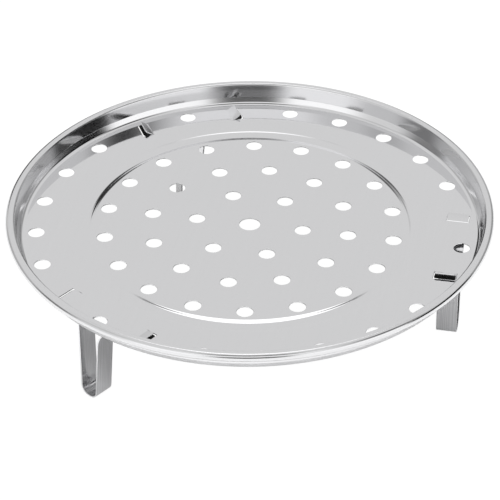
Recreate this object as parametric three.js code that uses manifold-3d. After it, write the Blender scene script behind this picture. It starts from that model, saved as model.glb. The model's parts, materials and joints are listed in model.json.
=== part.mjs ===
// Round stamped steaming rack: one perforated tray standing on three spring-strip legs.
// Millimetres, +Z up. The floor is z = 0, the tray's axis is Z, and +X points at leg_1.
import * as THREE from 'three';
import { mergeVertices } from 'three/addons/utils/BufferGeometryUtils.js';
import Module from 'manifold-3d';

const wasm = await Module();
wasm.setup();

// Tray and rim
const RIM_DIAMETER = 240; // over the rolled edge
const STAND_HEIGHT = 50; // floor to the top of the plate
const SHEET = 0.6; // thickness of the pressed sheet
const RIM_HEIGHT = 11.3; // top of the plate to the top of the rim
const ROLL_RADIUS = 2.1; // outside radius of the rolled edge
const ROLL_TURN = 220; // degrees that the edge is rolled under
const LIP_WIDTH = 4.6; // outermost edge to the wall's top corner
const UPPER_WALL_RUN = 0.7; // how far the wall leans out above its crease
const LOWER_WALL_RUN = 1.7; // and below it
const CREASE_HEIGHT = 3.7;
const LIP_FILLET = 1.2;
const FOOT_FILLET = 2.3;

// Pressed ring groove between the disc and the flange
const FLANGE_WIDTH = 19; // wall foot to the groove's outer edge
const GROOVE_WIDTH = 16;
const GROOVE_STEP = 2.4; // run of the groove's steep inner side
const GROOVE_DEPTH = 0.76;

// Punched holes
const CENTRE_HOLE = 10.5;
const STEAM_HOLE = 8.1;
const RING_PITCH = 22.6; // from ring to ring on the disc
const DISC_RING_INSET = 6.1; // disc edge to its outermost ring
const HOLES_PER_STEP = 6; // each ring has this many more holes than the ring inside it
const FLANGE_RING_INSET = 7.6; // wall foot to the flange's ring
const FLANGE_PLACES = 24; // places on that ring, some taken by louvers
const HOLE_BRIDGE = 3; // least metal left beside a hole

// Spring-strip legs
const STRIP_WIDTH = 10.2;
const STRIP = 0.8; // thickness of the strip
const LEG_EDGE_INSET = 7.4; // wall foot to the strip's outer edge
const LOOP_TOP = 13.2; // between the arms' middles where the wings start
const LOOP_FOOT = 9.2; // the same at the foot
const FOOT_RADIUS = 4.2; // middle of the strip, at the foot
const WING_DROP = 5; // top of the plate to where the arms turn into wings
const WING_RUN = 20.6; // arm to tip, measured level
const ARM_BEND = 14;
const KNEE_BEND = 2;

// Where each leg sits, how far its loop is pushed sideways between its louvers and leans on from
// there, how far the free edges of its louvers are bent up above the plate, and how far its tips
// stay below the undersides of the flaps
const LEGS = [
  { name: 'leg_1', angle: 0, push: 0, lean: 0, rise: 2.5, gap: 1.5 },
  { name: 'leg_2', angle: 120, push: 0, lean: 3.1, rise: 2.5, gap: 1.5 },
  { name: 'leg_3', angle: 240, push: -7.4, lean: -2.4, rise: 0.5, gap: 0.5 },
];

// Lanced louvers that take the wings' tips, two to a leg
const LOUVER_REACH = 6.2; // hinge to the lip at the mouth
const LOUVER_SETBACK = 1.7; // the flap's free edge stops this far short of the lip
const LOUVER_MARGIN = 0.2; // the flap is this much wider than the strip, on each side
const LOUVER_END_GAP = 0.2; // open slot at each end of the flap
const TIP_GAP = 0.5; // tip to the lip
const SEAT_GAP = 0.3; // wing to the underside of the plate
const KNEE_IN = 0.8; // hinge to the wing's knee

// Facets
const LATHE_STEPS = 60;
const HOLE_SIDES = 12;
const BEND_STEPS = 4;
const CUT_OVERLAP = 1; // cutters reach this far past what they cut

const STEEL = { metalness: 1, roughness: 0.2 };
const TRAY_COLOUR = 0xd0d1d2;
const LEG_COLOUR = 0xb9babc;

// Places worked out from those sizes
const rimRadius = RIM_DIAMETER / 2;
const wallTopRadius = rimRadius - LIP_WIDTH;
const creaseRadius = wallTopRadius - UPPER_WALL_RUN;
const footRadius = creaseRadius - LOWER_WALL_RUN;
const grooveOuterRadius = footRadius - FLANGE_WIDTH;
const discRadius = grooveOuterRadius - GROOVE_WIDTH;
const flangeRingRadius = footRadius - FLANGE_RING_INSET;
const stripOuter = footRadius - LEG_EDGE_INSET;
const stripInner = stripOuter - STRIP_WIDTH;
const tipReach = LOOP_TOP / 2 + WING_RUN;
const lip = tipReach + TIP_GAP;
const freeEdge = lip - LOUVER_SETBACK;
const hinge = lip - LOUVER_REACH;
const flap = { inner: stripInner - LOUVER_MARGIN, outer: stripOuter + LOUVER_MARGIN };
const slot = { inner: flap.inner - LOUVER_END_GAP, outer: flap.outer + LOUVER_END_GAP };

const radians = THREE.MathUtils.degToRad;
const point = (x, y) => new THREE.Vector2(x, y);

// Points along a bend of the given radius at corner b of the line a, b, c.
// The bend never takes more than half of either side.
function bend(a, b, c, radius) {
  const into = b.clone().sub(a);
  const out = c.clone().sub(b);
  const turn = Math.atan2(into.cross(out), into.dot(out));
  const halfTan = Math.tan(Math.abs(turn) / 2);
  const tangent = Math.min(radius * halfTan, into.length() / 2, out.length() / 2);
  const start = b.clone().addScaledVector(into.normalize(), -tangent);
  const side = point(-into.y, into.x).multiplyScalar(Math.sign(turn) * tangent / halfTan);
  const centre = start.clone().add(side);
  return Array.from({ length: BEND_STEPS + 1 }, (_, k) =>
    start.clone().rotateAround(centre, turn * k / BEND_STEPS));
}

// A line whose corners are bent; corners are [point, radius], and radius 0 stays sharp.
function bentLine(corners) {
  return corners.flatMap(([at, radius], k) =>
    radius > 0 ? bend(corners[k - 1][0], at, corners[k + 1][0], radius) : [at]);
}

// The line moved sideways to its right.
function offset(line, distance) {
  const normals = line.slice(1).map((end, k) => {
    const along = end.clone().sub(line[k]).normalize();
    return point(along.y, -along.x);
  });
  return line.map((at, k) => {
    const before = normals[Math.max(k - 1, 0)];
    const after = normals[Math.min(k, normals.length - 1)];
    const middle = before.clone().add(after).normalize();
    return at.clone().addScaledVector(middle, distance / middle.dot(before));
  });
}

// Closed solids and their joins and cuts
function solid(geometry) {
  const bare = geometry.clone();
  bare.deleteAttribute('normal');
  bare.deleteAttribute('uv');
  const merged = mergeVertices(bare);
  const triVerts = merged.index.array;
  const vertProperties = merged.attributes.position.array;
  return new wasm.Manifold(new wasm.Mesh({
    numProp: 3,
    vertProperties: new Float32Array(vertProperties),
    triVerts: new Uint32Array(triVerts),
  }));
}

function geometryOf(body) {
  const mesh = body.getMesh();
  const geometry = new THREE.BufferGeometry();
  geometry.setAttribute('position', new THREE.BufferAttribute(mesh.vertProperties, 3));
  geometry.setIndex(new THREE.BufferAttribute(mesh.triVerts, 1));
  geometry.computeVertexNormals();
  return geometry;
}

// A section drawn in y and z, swept along x.
const SECTION_ACROSS = new THREE.Matrix4().makeBasis(
  new THREE.Vector3(0, 1, 0),
  new THREE.Vector3(0, 0, 1),
  new THREE.Vector3(1, 0, 0),
);

function sweepOutward(outline, from, to) {
  const shape = new THREE.Shape(outline);
  const swept = new THREE.ExtrudeGeometry(shape, { depth: to - from, bevelEnabled: false });
  return swept.translate(0, 0, from).applyMatrix4(SECTION_ACROSS);
}

// The tray's sheet, turned about the axis from the centre hole to the rolled edge.
function sheetOfRevolution() {
  const top = STAND_HEIGHT + RIM_HEIGHT;
  const plate = STAND_HEIGHT;
  const rollCentre = point(rimRadius - ROLL_RADIUS, top - ROLL_RADIUS);
  const rollStart = point(rollCentre.x, top);
  const rollSteps = 2 * BEND_STEPS;
  const roll = Array.from({ length: rollSteps }, (_, k) =>
    rollStart.clone().rotateAround(rollCentre, -radians(ROLL_TURN) * (k + 1) / rollSteps));
  const inside = bentLine([
    [point(CENTRE_HOLE / 2, plate), 0],
    [point(discRadius, plate), 0],
    [point(discRadius + GROOVE_STEP, plate - GROOVE_DEPTH), 0],
    [point(grooveOuterRadius, plate), 0],
    [point(footRadius, plate), FOOT_FILLET],
    [point(creaseRadius, plate + CREASE_HEIGHT), 0],
    [point(wallTopRadius, top), LIP_FILLET],
    [rollStart, 0],
    ...roll.map((at) => [at, 0]),
  ]);
  const underside = offset(inside, SHEET);
  const profile = [...underside, ...inside.reverse(), underside[0]];
  return solid(new THREE.LatheGeometry(profile, LATHE_STEPS).rotateX(Math.PI / 2));
}

// Where the punched holes go, in polar places, with the louvers' places left out.
function holePlaces() {
  const places = [];
  const innermost = (CENTRE_HOLE + STEAM_HOLE) / 2 + HOLE_BRIDGE;
  const outermost = discRadius - DISC_RING_INSET;
  const rings = Math.floor((outermost - innermost) / RING_PITCH) + 1;
  for (let ring = 1; ring <= rings; ring += 1) {
    const count = HOLES_PER_STEP * ring;
    const radius = outermost - (rings - ring) * RING_PITCH;
    for (let k = 0; k < count; k += 1) places.push({ radius, turn: 2 * Math.PI * k / count });
  }
  for (let k = 0; k < FLANGE_PLACES; k += 1) {
    const place = { radius: flangeRingRadius, turn: 2 * Math.PI * k / FLANGE_PLACES };
    if (!LEGS.some((leg) => meetsLouver(place, leg))) places.push(place);
  }
  return places;
}

// Whether a hole would come too near one of a leg's louvers.
function meetsLouver({ radius, turn }, leg) {
  const outward = radius * Math.cos(turn - radians(leg.angle));
  const across = Math.abs(radius * Math.sin(turn - radians(leg.angle)));
  const gapOutward = Math.max(slot.inner - outward, outward - slot.outer, 0);
  const gapAcross = Math.max(hinge - across, across - lip, 0);
  return Math.hypot(gapOutward, gapAcross) < STEAM_HOLE / 2 + HOLE_BRIDGE;
}

function holeCutter({ radius, turn }) {
  const depth = SHEET + GROOVE_DEPTH + 2 * CUT_OVERLAP;
  const drill = new THREE.CylinderGeometry(STEAM_HOLE / 2, STEAM_HOLE / 2, depth, HOLE_SIDES);
  drill.rotateX(Math.PI / 2).translate(radius, 0, STAND_HEIGHT).rotateZ(turn);
  return solid(drill);
}

// One louver at x outward and y across (side is +1 or -1): the slot cut through the plate, and the
// flat flap that is bent up out of it, which stays joined along its hinge and is open at both ends.
function louver(side, rise) {
  const plate = STAND_HEIGHT;
  const flapTop = [
    point(hinge - CUT_OVERLAP, plate),
    point(hinge, plate),
    point(freeEdge, plate + rise),
  ];
  const flapSection = [...flapTop, ...offset(flapTop, SHEET).reverse()];
  const slotSection = [
    point(hinge, plate - SHEET - CUT_OVERLAP),
    point(lip, plate - SHEET - CUT_OVERLAP),
    point(lip, plate + CUT_OVERLAP),
    point(hinge, plate + CUT_OVERLAP),
  ];
  const mirrored = (outline) => outline.map((at) => point(side * at.x, at.y));
  return {
    raised: solid(sweepOutward(mirrored(flapSection), flap.inner, flap.outer)),
    cut: solid(sweepOutward(mirrored(slotSection), slot.inner, slot.outer)),
  };
}

function makeTray() {
  let body = sheetOfRevolution();
  holePlaces().forEach((place) => {
    body = body.subtract(holeCutter(place));
  });
  LEGS.forEach((leg) => [-1, 1].forEach((side) => {
    const { raised, cut } = louver(side, leg.rise);
    body = body.subtract(cut.rotate([0, 0, leg.angle])).add(raised.rotate([0, 0, leg.angle]));
  }));
  const tray = new THREE.Mesh(
    geometryOf(body),
    new THREE.MeshStandardMaterial({ color: TRAY_COLOUR, ...STEEL }),
  );
  tray.name = 'tray';
  return tray;
}

// One leg: a strip bent into a loop, with two wings whose tips stand in the slots.
function makeLeg({ name, angle, push, lean, rise, gap }) {
  const flapSlope = rise / (freeEdge - hinge);
  const flapAtTip = STAND_HEIGHT + flapSlope * (tipReach - hinge);
  const tipHeight = flapAtTip - (SHEET + gap + STRIP / 2) * Math.hypot(1, flapSlope);
  const kneeHeight = STAND_HEIGHT - SHEET - SEAT_GAP - STRIP / 2;
  const kneeReach = hinge + KNEE_IN;
  const armHeight = STAND_HEIGHT - WING_DROP;
  const footHeight = STRIP / 2;
  const line = bentLine([
    [point(-tipReach, tipHeight), 0],
    [point(-kneeReach, kneeHeight), KNEE_BEND],
    [point(push - LOOP_TOP / 2, armHeight), ARM_BEND],
    [point(push + lean - LOOP_FOOT / 2, footHeight), FOOT_RADIUS],
    [point(push + lean + LOOP_FOOT / 2, footHeight), FOOT_RADIUS],
    [point(push + LOOP_TOP / 2, armHeight), ARM_BEND],
    [point(kneeReach, kneeHeight), KNEE_BEND],
    [point(tipReach, tipHeight), 0],
  ]);
  const outline = [...offset(line, STRIP / 2), ...offset(line, -STRIP / 2).reverse()];
  const leg = new THREE.Mesh(
    sweepOutward(outline, stripInner, stripOuter),
    new THREE.MeshStandardMaterial({ color: LEG_COLOUR, ...STEEL }),
  );
  leg.name = name;
  leg.rotation.z = radians(angle);
  return leg;
}

const rack = new THREE.Group();
rack.add(makeTray());
LEGS.forEach((leg) => rack.add(makeLeg(leg)));

export default rack;
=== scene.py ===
# %% [markdown]
# # A stamped steaming rack
# The rack is one pressed sheet of polished stainless steel, full of punched holes, that stands on
# three legs bent from spring strip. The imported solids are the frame. They carry the joints and give
# the places, and each of them is drawn here again with smooth bends and rounded edges.

# %% Load the frame
import json
import math

import bmesh
import bpy
from mathutils import Matrix, Vector


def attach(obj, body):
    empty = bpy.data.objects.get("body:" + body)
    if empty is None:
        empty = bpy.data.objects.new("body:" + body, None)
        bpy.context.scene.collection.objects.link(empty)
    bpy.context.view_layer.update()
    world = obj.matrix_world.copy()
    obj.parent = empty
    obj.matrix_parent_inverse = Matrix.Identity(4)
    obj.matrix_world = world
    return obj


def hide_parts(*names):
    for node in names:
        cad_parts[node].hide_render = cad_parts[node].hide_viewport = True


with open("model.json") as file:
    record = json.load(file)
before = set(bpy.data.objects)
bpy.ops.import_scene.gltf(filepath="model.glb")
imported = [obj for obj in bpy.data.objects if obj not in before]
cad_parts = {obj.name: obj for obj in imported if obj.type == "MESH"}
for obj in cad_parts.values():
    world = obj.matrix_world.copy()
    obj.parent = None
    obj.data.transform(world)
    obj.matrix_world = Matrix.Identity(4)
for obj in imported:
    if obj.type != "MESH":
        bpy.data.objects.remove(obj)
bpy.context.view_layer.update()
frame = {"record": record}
mounts = {mount["name"]: mount for mount in frame["record"]["mounts"]}

# %% [markdown]
# ## Working in millimetres
# A sheet of 0.6 mm with bends of 2 mm is easier to draw in millimetres than in metres, so each mesh
# is drawn with the plate's top at z = 0. The last step lifts it to the height of the frame's plate
# and shrinks it to metres. Scaling the object would do that too, but the grain of the steel is
# measured from the object's origin, so the mesh is scaled and the object is left alone.

# %% One way to finish every piece
MM = 0.001
PLATE_TOP = mounts["plate_top"]["pos_m"][2] / MM


def make_piece(name, bm, node, body, finish):
    bmesh.ops.translate(bm, verts=bm.verts[:], vec=(0, 0, PLATE_TOP))
    bmesh.ops.scale(bm, verts=bm.verts[:], vec=(MM, MM, MM))
    for face in bm.faces:
        face.smooth = True
    mesh = bpy.data.meshes.new(name)
    bm.to_mesh(mesh)
    bm.free()
    piece = bpy.data.objects.new(name, mesh)
    bpy.context.collection.objects.link(piece)
    piece.data.materials.append(finish)
    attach(piece, body)
    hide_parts(node)
    print(name, len(mesh.vertices), "vertices", len(mesh.polygons), "faces")
    return piece


print("plate top at", round(PLATE_TOP, 2), "mm")

# %% [markdown]
# ## Shader maths as Python
# Every finish here is a small sum of noises. Its nodes could be added and linked one by one, but
# such a list is hard to read. A wrapped socket that knows plus, minus and times lets a sum be read
# like any other line of Python, and one method adds every other node.

# %% Sockets that can be added and multiplied
class Signal:
    def __init__(self, tree, socket=None):
        self.tree = tree
        self.socket = socket

    def node(self, kind, settings, inputs, output=0):
        made = self.tree.nodes.new(kind)
        for key, value in settings.items():
            setattr(made, key, value)
        for key, value in inputs.items():
            if isinstance(value, Signal):
                self.tree.links.new(value.socket, made.inputs[key])
            else:
                made.inputs[key].default_value = value
        if output is not None:
            return Signal(self.tree, made.outputs[output])

    def math(self, operation, *values):
        return self.node("ShaderNodeMath", {"operation": operation}, dict(enumerate(values)))

    def __add__(self, other):
        return self.math("ADD", self, other)

    def __radd__(self, other):
        return self.math("ADD", other, self)

    def __sub__(self, other):
        return self.math("SUBTRACT", self, other)

    def __rsub__(self, other):
        return self.math("SUBTRACT", other, self)

    def __mul__(self, other):
        return self.math("MULTIPLY", self, other)

    def __rmul__(self, other):
        return self.math("MULTIPLY", other, self)

    def between(self, low, high):
        return self.node("ShaderNodeMapRange", {"interpolation_type": "SMOOTHSTEP"},
                         {"Value": self, "From Min": low, "From Max": high})

    def mix(self, first, second):
        return self.node("ShaderNodeMix", {"data_type": "RGBA"},
                         {"Factor": self, "A": first, "B": second}, 2)


def start_tree(owner):
    owner.use_nodes = True
    owner.node_tree.nodes.clear()
    return Signal(owner.node_tree)


# %% [markdown]
# ## Stainless steel
# Rolled stainless sheet is almost a mirror, but not quite. Rolling leaves fine grain along its
# length, handling leaves cloudy patches, and washing leaves hair scratches. All three stay faint:
# they move the roughness and tilt the surface by a hair, and the colour hardly changes. The rim,
# which was spun, is a little coarser than the plate.
#
# The legs' strip was drawn through rolls, so its grain runs along the strip, round every bend.
# Grain on Object coordinates would run straight through the bends, so an attribute that counts
# millimetres across the strip gives its direction. A second attribute marks the tips, which sit in
# the slots. Their colour is painted near black as painted shade of the slots, and they are made dull.

# %% Grain of sheet and strip
ROLLED_STRETCH = (900, 14, 900)
DRAWN_LINES = 2.6
GRAIN_DETAIL = 4


def rolled_grain(start, place):
    along = start.node("ShaderNodeMapping", {}, {"Vector": place, "Scale": ROLLED_STRETCH})
    return start.node("ShaderNodeTexNoise", {},
                      {"Vector": along, "Scale": 1, "Detail": GRAIN_DETAIL})


def drawn_grain(start, _):
    across = start.node("ShaderNodeAttribute", {"attribute_name": "across"}, {}, "Fac")
    return start.node("ShaderNodeTexNoise", {"noise_dimensions": "1D"},
                      {"W": across, "Scale": DRAWN_LINES, "Detail": GRAIN_DETAIL})


# %% Finishes for sheet and strip
COOLNESS = 0.01
# painted shade: the near-black colour that the leg tips get inside the slots
SLOT_SHADE_COLOUR = (0.02, 0.02, 0.02, 1)
CLOUD_SCALE = 22
CLOUD_DETAIL = 3
SCRATCH_TURN = (0.3, 0.2, 0.9)
SCRATCH_STRETCH = (1500, 26, 1500)
SCRATCH_CUT = (0.70, 0.76)
GRAIN_CUT = (0.35, 0.65)
SPUN_FROM = ((PLATE_TOP + 0.5) * MM, (PLATE_TOP + 2.0) * MM)
COLOUR_SHARES = {"clouds": 0.4, "grain": 0.6}
ROUGHNESS_SHARES = {"clouds": 0.04, "scratch": 0.05, "spun": 0.08, "shaded_tip": 0.6}
RELIEF_SHARES = {"grain": 0.6, "scratch": 0.4}
RELIEF_DISTANCE = 0.0001


def steel(level):
    return level, level, level + COOLNESS, 1


def stainless(name, dark, light, polish, grain_of, grain_polish, grain_tilt):
    material = bpy.data.materials.new(name)
    start = start_tree(material)
    place = start.node("ShaderNodeTexCoord", {}, {}, "Object")
    clouds = start.node("ShaderNodeTexNoise", {},
                        {"Vector": place, "Scale": CLOUD_SCALE, "Detail": CLOUD_DETAIL})
    grain = grain_of(start, place)
    turned = start.node("ShaderNodeMapping", {}, {
        "Vector": place, "Rotation": SCRATCH_TURN, "Scale": SCRATCH_STRETCH})
    hairs = start.node("ShaderNodeTexNoise", {}, {"Vector": turned, "Scale": 1, "Detail": 1})
    scratch = hairs.between(*SCRATCH_CUT)
    # painted shade: the marked tips are coloured near black and made dull
    shaded_tip = start.node("ShaderNodeAttribute", {"attribute_name": "shaded_tip"}, {}, "Fac")
    height = start.node("ShaderNodeSeparateXYZ", {}, {"Vector": place}, "Z")
    spun = height.between(*SPUN_FROM)
    tone = clouds * COLOUR_SHARES["clouds"] + grain.between(*GRAIN_CUT) * COLOUR_SHARES["grain"]
    colour = shaded_tip.mix(tone.mix(steel(dark), steel(light)), SLOT_SHADE_COLOUR)
    worn = ((clouds - 0.5) * ROUGHNESS_SHARES["clouds"] + (grain - 0.5) * grain_polish
            + scratch * ROUGHNESS_SHARES["scratch"])
    roughness = (polish + worn + spun * ROUGHNESS_SHARES["spun"]
                 + shaded_tip * ROUGHNESS_SHARES["shaded_tip"])
    relief = start.node("ShaderNodeBump", {}, {
        "Height": grain * RELIEF_SHARES["grain"] - scratch * RELIEF_SHARES["scratch"],
        "Strength": grain_tilt, "Distance": RELIEF_DISTANCE})
    skin = start.node("ShaderNodeBsdfPrincipled", {}, {
        "Base Color": colour, "Roughness": roughness, "Metallic": 1.0, "Normal": relief})
    start.node("ShaderNodeOutputMaterial", {}, {"Surface": skin}, None)
    return material


polished_sheet = stainless("polished_sheet", dark=0.795, light=0.805, polish=0.07,
                           grain_of=rolled_grain, grain_polish=0.02, grain_tilt=0.02)
spring_strip = stainless("spring_strip", dark=0.54, light=0.86, polish=0.15,
                         grain_of=drawn_grain, grain_polish=0.10, grain_tilt=0.10)
print("finishes", polished_sheet.name, spring_strip.name)

# %% [markdown]
# ## Lines that become sheet
# A pressed sheet is the same section all the way round, so its section is drawn once as a wire of a
# few corners. The points of each arc could be worked out one by one. Bevelling a corner of the wire
# makes the same arc from its radius alone, as a press tool does. No bend takes more than half of a
# side that it shares with another bend. Edges and vertices are gathered in lists, because a list
# keeps its order, and the order of a set of them changes from run to run.

# %% Wires with bent corners
def bent_wire(bm, corners, segments):
    points = [Vector(point) for point, _ in corners]
    verts = [bm.verts.new(point) for point in points]
    for pair in zip(verts, verts[1:]):
        bm.edges.new(pair)
    for count, (_, radius) in enumerate(corners):
        if radius:
            sides = []
            for near in (count - 1, count + 1):
                share = 0.5 if corners[near][1] else 1
                sides.append((points[near] - points[count]) * share)
            half_angle = sides[0].angle(sides[1]) / 2
            tangent = min(radius / math.tan(half_angle), *(side.length for side in sides))
            bmesh.ops.bevel(bm, geom=[verts[count]], offset=tangent, offset_type="OFFSET",
                            segments=segments, profile=0.5, affect="VERTICES", material=-1)
    return verts[0], verts[-1]


def wire_from(vert):
    edges = []
    grow = [vert]
    while grow:
        reached = grow.pop()
        for edge in reached.link_edges:
            if edge not in edges:
                edges.append(edge)
                grow.append(edge.other_vert(reached))
    return edges


def verts_of(edges):
    return list(dict.fromkeys(vert for edge in edges for vert in edge.verts))


# %% [markdown]
# ## Groove and rim
# The disc in the middle ends in a pressed ring groove. Its inner side is a soft step, and its floor
# climbs back to the plate slowly, over one faint ridge. The rim starts with a soft bend, has a
# crease a third of the way up and ends in a rolled edge. Rings of faces could be scaled and bridged
# to the same shape, but turning a section with spin keeps every ring exactly round, and a mirror
# shows when it isn't. The flat parts stay open for now, because they get their holes first.

# %% Sizes of the section
RIM_RADIUS = 120.0
RIM_HEIGHT = 11.3
LIP_WIDTH = 4.6
UPPER_WALL_RUN = 0.7
LOWER_WALL_RUN = 1.7
CREASE_HEIGHT = 3.7
ROLL_RADIUS = 2.1
ROLL_TURN = math.radians(220)
FLANGE_WIDTH = 19.0
GROOVE_WIDTH = 16.0
GROOVE_DEPTH = 0.76
STEP_RUN = 2.4

WALL_TOP = RIM_RADIUS - LIP_WIDTH
CREASE = WALL_TOP - UPPER_WALL_RUN
WALL_FOOT = CREASE - LOWER_WALL_RUN
GROOVE_OUTER = WALL_FOOT - FLANGE_WIDTH
DISC_RADIUS = GROOVE_OUTER - GROOVE_WIDTH
GROOVE_FLOOR = DISC_RADIUS + STEP_RUN
RIDGE_FOOT = (GROOVE_FLOOR + 5.2, 0, -0.65)
RIDGE_TOP = (GROOVE_FLOOR + 6.3, 0, -0.42)
DISC_EDGE = DISC_RADIUS - 1.5
FLANGE_START = GROOVE_OUTER + 0.5
FLANGE_END = WALL_FOOT - 1.9
print("disc", round(DISC_RADIUS, 2), "groove", round(GROOVE_OUTER, 2), "wall", round(WALL_FOOT, 2))

# %% Draw the two sections and turn them
STEP_BEND = 7.8
RIDGE_BEND = 3.0
GROOVE_BEND = 14.0
WALL_BEND = 2.3
CREASE_BEND = 0.9
LIP_BEND = 1.2
BEND_STEPS = 8
ROLL_STEPS = 24
TURN_STEPS = 288

tray = bmesh.new()
bent_wire(tray, [
    ((DISC_EDGE, 0, 0), 0), ((DISC_RADIUS, 0, 0), STEP_BEND),
    ((GROOVE_FLOOR, 0, -GROOVE_DEPTH), STEP_BEND), (RIDGE_FOOT, RIDGE_BEND),
    (RIDGE_TOP, RIDGE_BEND), ((GROOVE_OUTER, 0, 0), GROOVE_BEND),
    ((FLANGE_START, 0, 0), 0)], BEND_STEPS)
_, roll_start = bent_wire(tray, [
    ((FLANGE_END, 0, 0), 0), ((WALL_FOOT, 0, 0), WALL_BEND),
    ((CREASE, 0, CREASE_HEIGHT), CREASE_BEND), ((WALL_TOP, 0, RIM_HEIGHT), LIP_BEND),
    ((RIM_RADIUS - ROLL_RADIUS, 0, RIM_HEIGHT), 0)], BEND_STEPS)
bmesh.ops.spin(tray, geom=[roll_start], cent=roll_start.co - Vector((0, 0, ROLL_RADIUS)),
               axis=(0, 1, 0), angle=ROLL_TURN, steps=ROLL_STEPS, use_merge=False,
               use_duplicate=False)
bmesh.ops.spin(tray, geom=tray.verts[:] + tray.edges[:], cent=(0, 0, 0), axis=(0, 0, 1),
               angle=math.tau, steps=TURN_STEPS, use_merge=True, use_duplicate=False)
print("turned sheet", len(tray.verts), "vertices")

# %% [markdown]
# ## Holes, slots and flaps
# A press punches the holes, and lances six flaps that leave slots for the legs. Booleans could cut
# all of these, but they leave shards that show as creases in a mirror. So the flat parts are filled
# between outlines: every hole is a clean circle and the plate stays perfectly flat. Each flap
# starts on the near side of its slot, where the sheet was not cut.

# %% Outlines of the punched holes
HOLE_RADIUS = 4.05
CENTRE_RADIUS = 5.25
RING_COUNTS = (18, 12, 6)
RING_PITCH = 22.6
OUTER_RING = DISC_RADIUS - 6.1
FLANGE_RING = WALL_FOOT - 7.6
FLANGE_STEP = 15
LEG_STEP = 120
SLOT_TURNS = (15, 105)
HOLE_STEPS = 48


def punch(bm, radius, reach, turn):
    place = Matrix.Rotation(math.radians(turn), 4, "Z") @ Matrix.Translation((reach, 0, 0))
    made = bmesh.ops.create_circle(bm, cap_ends=False, radius=radius, segments=HOLE_STEPS,
                                   matrix=place)
    return wire_from(made["verts"][0])


disc_holes = punch(tray, CENTRE_RADIUS, 0, 0)
for ring, count in enumerate(RING_COUNTS):
    for step in range(count):
        disc_holes += punch(tray, HOLE_RADIUS, OUTER_RING - ring * RING_PITCH, 360 * step / count)
flange_holes = []
for turn in range(0, 360, FLANGE_STEP):
    if turn % LEG_STEP not in SLOT_TURNS:
        flange_holes += punch(tray, HOLE_RADIUS, FLANGE_RING, turn)
print("hole edges", len(disc_holes), len(flange_holes))

# %% Slots beside the legs
STRIP_WIDTH = 10.2
STRIP_OUTER = WALL_FOOT - 7.4
STRIP_INNER = STRIP_OUTER - STRIP_WIDTH
SIDE_GAP = 0.2
FLAP_OUTER = STRIP_OUTER + SIDE_GAP
FLAP_INNER = STRIP_INNER - SIDE_GAP
SLOT_OUTER = FLAP_OUTER + SIDE_GAP
SLOT_INNER = FLAP_INNER - SIDE_GAP
TIP_REACH = 27.2
LIP = TIP_REACH + 0.5
FREE_EDGE = LIP - 1.7
HINGE = LIP - 6.2
SLOT_CORNER = 0.2
SLOT_STEPS = 4
LEG_TURNS = {"leg_1": 0, "leg_2": LEG_STEP, "leg_3": 2 * LEG_STEP}
SIDES = (-1, 1)


def turn_about_axis(bm, verts, degrees):
    bmesh.ops.rotate(bm, verts=verts, cent=(0, 0, 0),
                     matrix=Matrix.Rotation(math.radians(degrees), 3, "Z"))


def cut_slot(bm, turn, side):
    first, last = bent_wire(bm, [
        ((FLAP_INNER, side * HINGE, 0), 0), ((SLOT_INNER, side * HINGE, 0), SLOT_CORNER / 2),
        ((SLOT_INNER, side * LIP, 0), SLOT_CORNER), ((SLOT_OUTER, side * LIP, 0), SLOT_CORNER),
        ((SLOT_OUTER, side * HINGE, 0), SLOT_CORNER / 2), ((FLAP_OUTER, side * HINGE, 0), 0)],
        SLOT_STEPS)
    bm.edges.new((last, first))
    outline = wire_from(first)
    turn_about_axis(bm, verts_of(outline), turn)
    return outline


slots = []
for turn in LEG_TURNS.values():
    for side in SIDES:
        slots += cut_slot(tray, turn, side)
print("slot edges", len(slots))

# %% Fill the flat parts
NEAR_RING = 0.01
NEAR_PLATE = 0.001


def ring_edges(bm, radius):
    return [edge for edge in bm.edges
            if edge.is_boundary and all(abs(vert.co.xy.length - radius) < NEAR_RING
                                        and abs(vert.co.z) < NEAR_PLATE for vert in edge.verts)]


def fill_flat(bm, outlines):
    bmesh.ops.triangle_fill(bm, use_beauty=True, use_dissolve=False, edges=outlines,
                            normal=(0, 0, 1))


fill_flat(tray, disc_holes + ring_edges(tray, DISC_EDGE))
fill_flat(tray, flange_holes + slots + ring_edges(tray, FLANGE_START)
          + ring_edges(tray, FLANGE_END))
print("filled", len(tray.faces), "faces")

# %% Bend the flaps up
FLAP_RISES = {"leg_1": 2.5, "leg_2": 2.5, "leg_3": 0.5}
HINGE_FLAT = 0.45
HINGE_BEND = 1.0
HINGE_STEPS = 5
FLAP_CORNER = 1.2
FLAP_STEPS = 7
WELD = 0.001


def raise_flap(bm, turn, side, rise):
    root, inner_vert = bent_wire(bm, [
        ((FLAP_INNER, side * HINGE, 0), 0),
        ((FLAP_INNER, side * (HINGE + HINGE_FLAT), 0), HINGE_BEND),
        ((FLAP_INNER, side * FREE_EDGE, rise), 0)], HINGE_STEPS)
    section = wire_from(root)
    around = verts_of(section)
    made = bmesh.ops.extrude_edge_only(bm, edges=section)["geom"]
    moved = [part for part in made if isinstance(part, bmesh.types.BMVert)]
    bmesh.ops.translate(bm, verts=moved, vec=(FLAP_OUTER - FLAP_INNER, 0, 0))
    outer_vert = max(moved, key=lambda vert: vert.co.z)
    turn_about_axis(bm, around + moved, turn)
    bmesh.ops.bevel(bm, geom=[inner_vert, outer_vert], offset=FLAP_CORNER, offset_type="OFFSET",
                    segments=FLAP_STEPS, profile=0.5, affect="VERTICES", material=-1)


for leg_name, turn in LEG_TURNS.items():
    for side in SIDES:
        raise_flap(tray, turn, side, FLAP_RISES[leg_name])
bmesh.ops.remove_doubles(tray, verts=tray.verts[:], dist=WELD)
print("with flaps", len(tray.faces), "faces")

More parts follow.
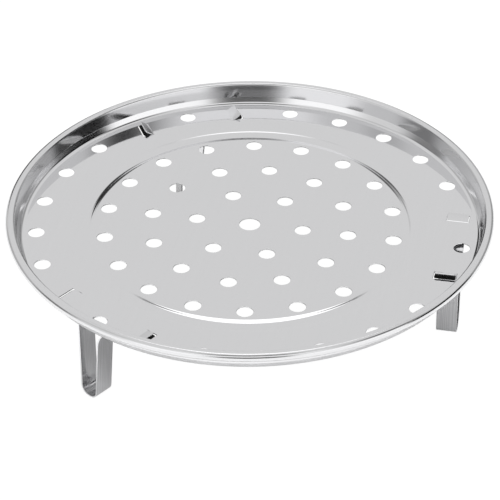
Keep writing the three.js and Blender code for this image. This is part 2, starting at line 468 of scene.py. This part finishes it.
# %% [markdown]
# ## Thickness and edges
# The surface so far is the top of the sheet. Solidify gives it 0.6 mm downwards, and a small bevel
# takes the sharpness off every cut edge, as the tumbling of real parts does. Both could be live
# modifiers, but the edges to keep crisp have to be picked after them, so the mesh is changed here.
# A mirror shows the smallest error of a surface, so weighted normals keep the flat parts flat right
# up to each bend.

# %% Give the sheet its thickness
SHEET = 0.6
EDGE_ROUNDING = 0.14
EDGE_STEPS = 2
CUT_ANGLE = 1.0
CRISP_ANGLE = 0.17
LEVEL = 0.9999

bmesh.ops.recalc_face_normals(tray, faces=tray.faces[:])
plate_face = min(tray.faces, key=lambda face: abs(face.calc_center_median().z)
                 + face.calc_center_median().xy.length)
if plate_face.normal.z < 0:
    bmesh.ops.reverse_faces(tray, faces=tray.faces[:])
bmesh.ops.solidify(tray, geom=tray.faces[:], thickness=SHEET)
bmesh.ops.recalc_face_normals(tray, faces=tray.faces[:])
cut_edges = [edge for edge in tray.edges if edge.calc_face_angle(0) > CUT_ANGLE]
bmesh.ops.bevel(tray, geom=cut_edges, offset=EDGE_ROUNDING, offset_type="OFFSET",
                segments=EDGE_STEPS, profile=0.5, affect="EDGES", material=-1)
for edge in tray.edges:
    flats = [abs(face.normal.z) > LEVEL for face in edge.link_faces]
    if len(set(flats)) > 1 and edge.calc_face_angle(0) > CRISP_ANGLE:
        edge.smooth = False
print("volume", round(tray.calc_volume() / 1000, 2), "cm3, open edges",
      sum(not edge.is_manifold for edge in tray.edges))

# %% Finish the tray
tray_sheet = make_piece("tray_sheet", tray, "tray", "tray_body", polished_sheet)
flat_parts = tray_sheet.modifiers.new("flat_parts", "WEIGHTED_NORMAL")
flat_parts.weight = 100
flat_parts.keep_sharp = True

# %% [markdown]
# ## Spring-strip legs
# Each leg is one strip, bent into a loop with two wings that climb into the slots. A curve with a
# flat profile could draw it, but such a profile can twist where the curve turns. So the bends are
# again rounded corners of a wire, and the wire is pulled sideways into a ribbon. Solidify then puts
# half of the thickness on each side of it, and Bevel rounds the rolled edges.

# %% Draw half a leg
STRIP = 0.8
TIP_REST = 0.3
FOOT_HEIGHT = STRIP / 2 - PLATE_TOP
KNEE_REACH = HINGE + 0.8
KNEE_HEIGHT = -(SHEET + TIP_REST + STRIP / 2)
LOOP_TOP = 6.6
LOOP_FOOT = 4.6
WING_START = -5.0
KNEE_BEND = 2.0
ARM_BEND = 14.0
FOOT_BEND = 4.2


def half_leg(side, push, lean, tip_height):
    corners = [(side * TIP_REACH, tip_height, 0), (side * KNEE_REACH, KNEE_HEIGHT, KNEE_BEND),
               (push + side * LOOP_TOP, WING_START, ARM_BEND),
               (push + lean + side * LOOP_FOOT, FOOT_HEIGHT, FOOT_BEND)]
    return [((STRIP_INNER, across, height), radius) for across, height, radius in corners]


print("knee at", round(KNEE_REACH, 2), round(KNEE_HEIGHT, 2), "foot at", round(FOOT_HEIGHT, 2))

# %% Bend a strip into a leg
LEG_BEND_STEPS = 12
TIP_CORNER = 1.0
TIP_STEPS = 5
# length over which the painted shade of the tips fades in
SLOT_SHADE_FADE = 1.5


def bend_leg(name, push, lean, gap):
    slope = FLAP_RISES[name] / (FREE_EDGE - HINGE)
    below_flap = (SHEET + gap + STRIP / 2) * math.hypot(1, slope)
    tip_height = slope * (TIP_REACH - HINGE) - below_flap
    first, second = (half_leg(side, push, lean, tip_height) for side in SIDES)
    bm = bmesh.new()
    bent_wire(bm, first + second[::-1], LEG_BEND_STEPS)
    made = bmesh.ops.extrude_edge_only(bm, edges=bm.edges[:])["geom"]
    moved = [part for part in made if isinstance(part, bmesh.types.BMVert)]
    bmesh.ops.translate(bm, verts=moved, vec=(STRIP_OUTER - STRIP_INNER, 0, 0))
    tips = [vert for vert in bm.verts if len(vert.link_edges) == 2]
    bmesh.ops.bevel(bm, geom=tips, offset=TIP_CORNER, offset_type="OFFSET", segments=TIP_STEPS,
                    profile=0.5, affect="VERTICES", material=-1)
    across = bm.verts.layers.float.new("across")
    # painted shade: marks the strip's tips in the slots, fading in just past the flap's hinge
    shaded_tip = bm.verts.layers.float.new("shaded_tip")
    for vert in bm.verts:
        vert[across] = vert.co.x
        vert[shaded_tip] = min(max((abs(vert.co.y) - HINGE) / SLOT_SHADE_FADE, 0), 1)
    bmesh.ops.recalc_face_normals(bm, faces=bm.faces[:])
    turn_about_axis(bm, bm.verts[:], LEG_TURNS[name])
    print(name, "tip at", round(tip_height, 2), "mm from the plate's top")
    return bm


# %% Finish the three legs
# sideways push of the loop, lean of its foot, and gap between tip and flap
LEG_SHAPES = {"leg_1": (0, 0, 1.5), "leg_2": (0, 3.1, 1.5), "leg_3": (-7.4, -2.4, 0.5)}
ROLLED_EDGE = 0.2
ROLLED_STEPS = 3
ROLLED_ANGLE = math.radians(50)


def thicken_strip(piece):
    wall = piece.modifiers.new("strip_thickness", "SOLIDIFY")
    wall.thickness = STRIP * MM
    wall.offset = 0
    wall.use_even_offset = True
    edge = piece.modifiers.new("rolled_edge", "BEVEL")
    edge.width = ROLLED_EDGE * MM
    edge.segments = ROLLED_STEPS
    edge.limit_method = "ANGLE"
    edge.angle_limit = ROLLED_ANGLE
    edge.harden_normals = True


for leg_name, shape in LEG_SHAPES.items():
    strip = make_piece(leg_name + "_strip", bend_leg(leg_name, *shape), leg_name,
                       leg_name + "_body", spring_strip)
    thicken_strip(strip)

# %% [markdown]
# ## Camera
# The photograph was taken with a long lens from about 35 degrees above the plate. A camera could be
# aimed by a constraint, but its roll is part of the picture, so its three axes are written out. The
# values put the plate's middle, the rim's outline and the legs' feet where the photograph has them.

# %% Set up the camera
VIEW_TURN = math.radians(12.14)
VIEW_HEIGHT = math.radians(35.43)
VIEW_ROLL = math.radians(-0.58)
VIEW_DISTANCE = 1.0639
VIEW_DROP = 0.01285
VIEW_LENS = 154.74
SENSOR_WIDTH = 36

back = Vector((math.sin(VIEW_TURN) * math.cos(VIEW_HEIGHT),
               -math.cos(VIEW_TURN) * math.cos(VIEW_HEIGHT), math.sin(VIEW_HEIGHT)))
right = Vector((math.cos(VIEW_TURN), math.sin(VIEW_TURN), 0))
up = back.cross(right)
camera = bpy.data.objects.new("camera", bpy.data.cameras.new("camera"))
camera.data.sensor_width = SENSOR_WIDTH
camera.data.lens = VIEW_LENS
axes = Matrix((right, up, back)).transposed() @ Matrix.Rotation(VIEW_ROLL, 3, "Z")
camera.matrix_world = Matrix.Translation(
    Vector((0, 0, PLATE_TOP * MM)) + back * VIEW_DISTANCE - up * VIEW_DROP) @ axes.to_4x4()
bpy.context.collection.objects.link(camera)
bpy.context.scene.camera = camera
print("camera at", tuple(round(value, 4) for value in camera.location))

# %% [markdown]
# ## Studio
# Polished steel shows the room, so the room is most of the picture. It is a plain pale room with a
# few panels and screens in it. The rim shows a dark camera between two bright panels, with dark
# side walls beyond them. The plate shows the wall behind, and the groove a softbox overhead. Real
# panels could stand around the rack, but other views would look at their backs. Painted on the
# world, they show only in the steel: the camera itself sees plain white.
#
# Directions are in degrees clockwise from the wall behind the rack, and heights are in degrees
# above the floor. Each panel has the middle, half width and soft edge of its direction, then its
# lowest and highest edge with their softness, and then its level. Later ones cover earlier ones.

# %% Set up the panels
PALE = 0.76
ALL_DOWN = -100
RIG = {
    "left_wall": (-54, 18, 8, ALL_DOWN, 28, 3, 0.50),
    "right_wall": (47, 22, 8, ALL_DOWN, 28, 3, 0.36),
    "left_screen": (-86, 12, 7, ALL_DOWN, 29, 3, 0.22),
    "right_screen": (89, 20, 4, ALL_DOWN, 29, 3, 0.0),
    "left_panel": (-146, 20, 8, ALL_DOWN, 28, 3, 1.2),
    "right_panel": (136, 26, 4, ALL_DOWN, 20, 1, 1.22),
    "camera_stand": (180, 15, 9, ALL_DOWN, 28, 3, 0.28),
    "camera": (180, 13, 6, ALL_DOWN, 19.5, 1.5, 0.06),
    "left_doorway": (-20, 10, 2, ALL_DOWN, 23.3, 1.2, 0.03),
    "left_doorpost": (-13, 3.5, 1.5, ALL_DOWN, 26.5, 1.5, 0.05),
    "right_doorway": (22, 8, 2, ALL_DOWN, 23.3, 1.2, 0.42),
    "right_doorpost": (12.5, 3, 1.5, ALL_DOWN, 26.5, 1.5, 0.13),
    "front_wall": (180, 36, 10, 33, 54, 4, 1.05),
    "left_shelf": (-102, 12, 8, 33, 54, 4, 0.58),
    "right_shelf": (109, 17, 15, 33, 54, 4, 0.05),
    "camera_roof": (180, 32, 8, 54, 78, 3, 0.20),
    "softbox_frame": (0, 33, 3, 53, 72, 2, 0.25),
    "softbox": (0, 26, 2, 54, 78, 2, 1.50),
}
print("panels and screens", len(RIG))

# %% Paint the room
def grey(level):
    return level, level, level, 1


def light_path(start, kind):
    return start.node("ShaderNodeLightPath", {}, {}, kind)


def seen_plainly(start):
    return start.math("MAXIMUM", light_path(start, "Is Camera Ray"),
                      light_path(start, "Is Transmission Ray"))


def paint_room(world):
    start = start_tree(world)
    ray = start.node("ShaderNodeTexCoord", {}, {}, "Generated")

    def along(direction):
        return start.node("ShaderNodeVectorMath", {"operation": "DOT_PRODUCT"},
                          {0: ray, 1: direction}, "Value")

    behind = along((-math.sin(VIEW_TURN), math.cos(VIEW_TURN), 0))
    heading = start.math("ARCTAN2", along(tuple(right)), behind) * math.degrees(1)
    height = start.math("ARCSINE", along((0, 0, 1))) * math.degrees(1)
    room = grey(PALE)
    for middle, half, edge, low, high, fade, level in RIG.values():
        beside = start.math("ABSOLUTE", start.math("WRAP", heading - middle, 180, -180))
        within = 1 - beside.between(half - edge, half + edge)
        above = height.between(low - fade, low + fade)
        below = 1 - height.between(high - fade, high + fade)
        room = (within * above * below).mix(room, grey(level))
    colour = seen_plainly(start).mix(room, grey(1))
    glow = start.node("ShaderNodeBackground", {}, {"Color": colour, "Strength": 1.0})
    start.node("ShaderNodeOutputWorld", {}, {"Surface": glow}, None)


studio = bpy.data.worlds.new("studio")
bpy.context.scene.world = studio
paint_room(studio)
print("room nodes", len(studio.node_tree.nodes))

# %% [markdown]
# ## Floor and lamps
# The rack stands on a pale floor. A bright lamp could wash it out to white, but it would wash out
# the steel as well. So the floor glows for the camera, with a share left over that keeps the
# shadow. Mirror rays see it glowing white well away from the rack. Nearer the rack the glow fades,
# and under the rack the floor's colour is painted darker, as a painted shadow.

# %% Lay the floor
FLOOR_SIZE = 3.0
FLOOR_LEVEL = 0.9
# painted shadow: the darker grey that mirror rays see on the floor right under the rack
SHADED_LEVEL = 0.65
SHADED_REACH = (0.08, 0.10)
GLOW_STRENGTH = 1.05
GLOW_SEEN = 0.93
GLOW_MIRRORED = 0.8
GLOW_REACH = (0.12, 0.19)


def floor_finish():
    material = bpy.data.materials.new("pale_floor")
    start = start_tree(material)
    lit = start.node("ShaderNodeBsdfDiffuse", {}, {"Color": grey(FLOOR_LEVEL)})
    dim = start.node("ShaderNodeBsdfDiffuse", {}, {"Color": grey(SHADED_LEVEL)})
    white = start.node("ShaderNodeEmission", {}, {"Color": grey(1), "Strength": GLOW_STRENGTH})
    place = start.node("ShaderNodeTexCoord", {}, {}, "Object")
    reach = start.node("ShaderNodeVectorMath", {"operation": "LENGTH"}, {0: place}, "Value")
    shine = light_path(start, "Is Glossy Ray")
    # painted shadow: in mirror rays the white glow fades out towards the rack
    share = (seen_plainly(start) * GLOW_SEEN
             + shine * reach.between(*GLOW_REACH) * GLOW_MIRRORED)
    # painted shadow: under the rack, mirror rays see the darker grey floor
    painted_shadow_mask = shine * (1 - reach.between(*SHADED_REACH))
    ground = start.node("ShaderNodeMixShader", {}, {0: painted_shadow_mask, 1: lit, 2: dim})
    skin = start.node("ShaderNodeMixShader", {}, {0: share, 1: ground, 2: white})
    start.node("ShaderNodeOutputMaterial", {}, {"Surface": skin}, None)
    return material


def lay_floor():
    bm = bmesh.new()
    bmesh.ops.create_grid(bm, x_segments=1, y_segments=1, size=FLOOR_SIZE)
    mesh = bpy.data.meshes.new("floor")
    bm.to_mesh(mesh)
    bm.free()
    floor = bpy.data.objects.new("floor", mesh)
    bpy.context.collection.objects.link(floor)
    floor.data.materials.append(floor_finish())
    return floor


print("floor", tuple(lay_floor().dimensions))

# %% Hang the lamps
# distance in front of the rack, height and power
LAMPS = {"top_panel": (0, 1.2, 8.0), "front_panel": (0.9, 1.1, 4.0)}
LAMP_SIZE = 0.5


def hang_lamp(name, reach, height, power):
    panel = bpy.data.lights.new(name, "AREA")
    panel.size = LAMP_SIZE
    panel.energy = power
    lamp = bpy.data.objects.new(name, panel)
    lamp.location = (math.sin(VIEW_TURN) * reach, -math.cos(VIEW_TURN) * reach, height)
    lamp.rotation_euler = lamp.location.to_track_quat("Z", "Y").to_euler()
    lamp.visible_glossy = False
    bpy.context.collection.objects.link(lamp)
    print(name, power, "W")


for lamp_name, place in LAMPS.items():
    hang_lamp(lamp_name, *place)
bpy.context.scene.view_settings.view_transform = "Standard"
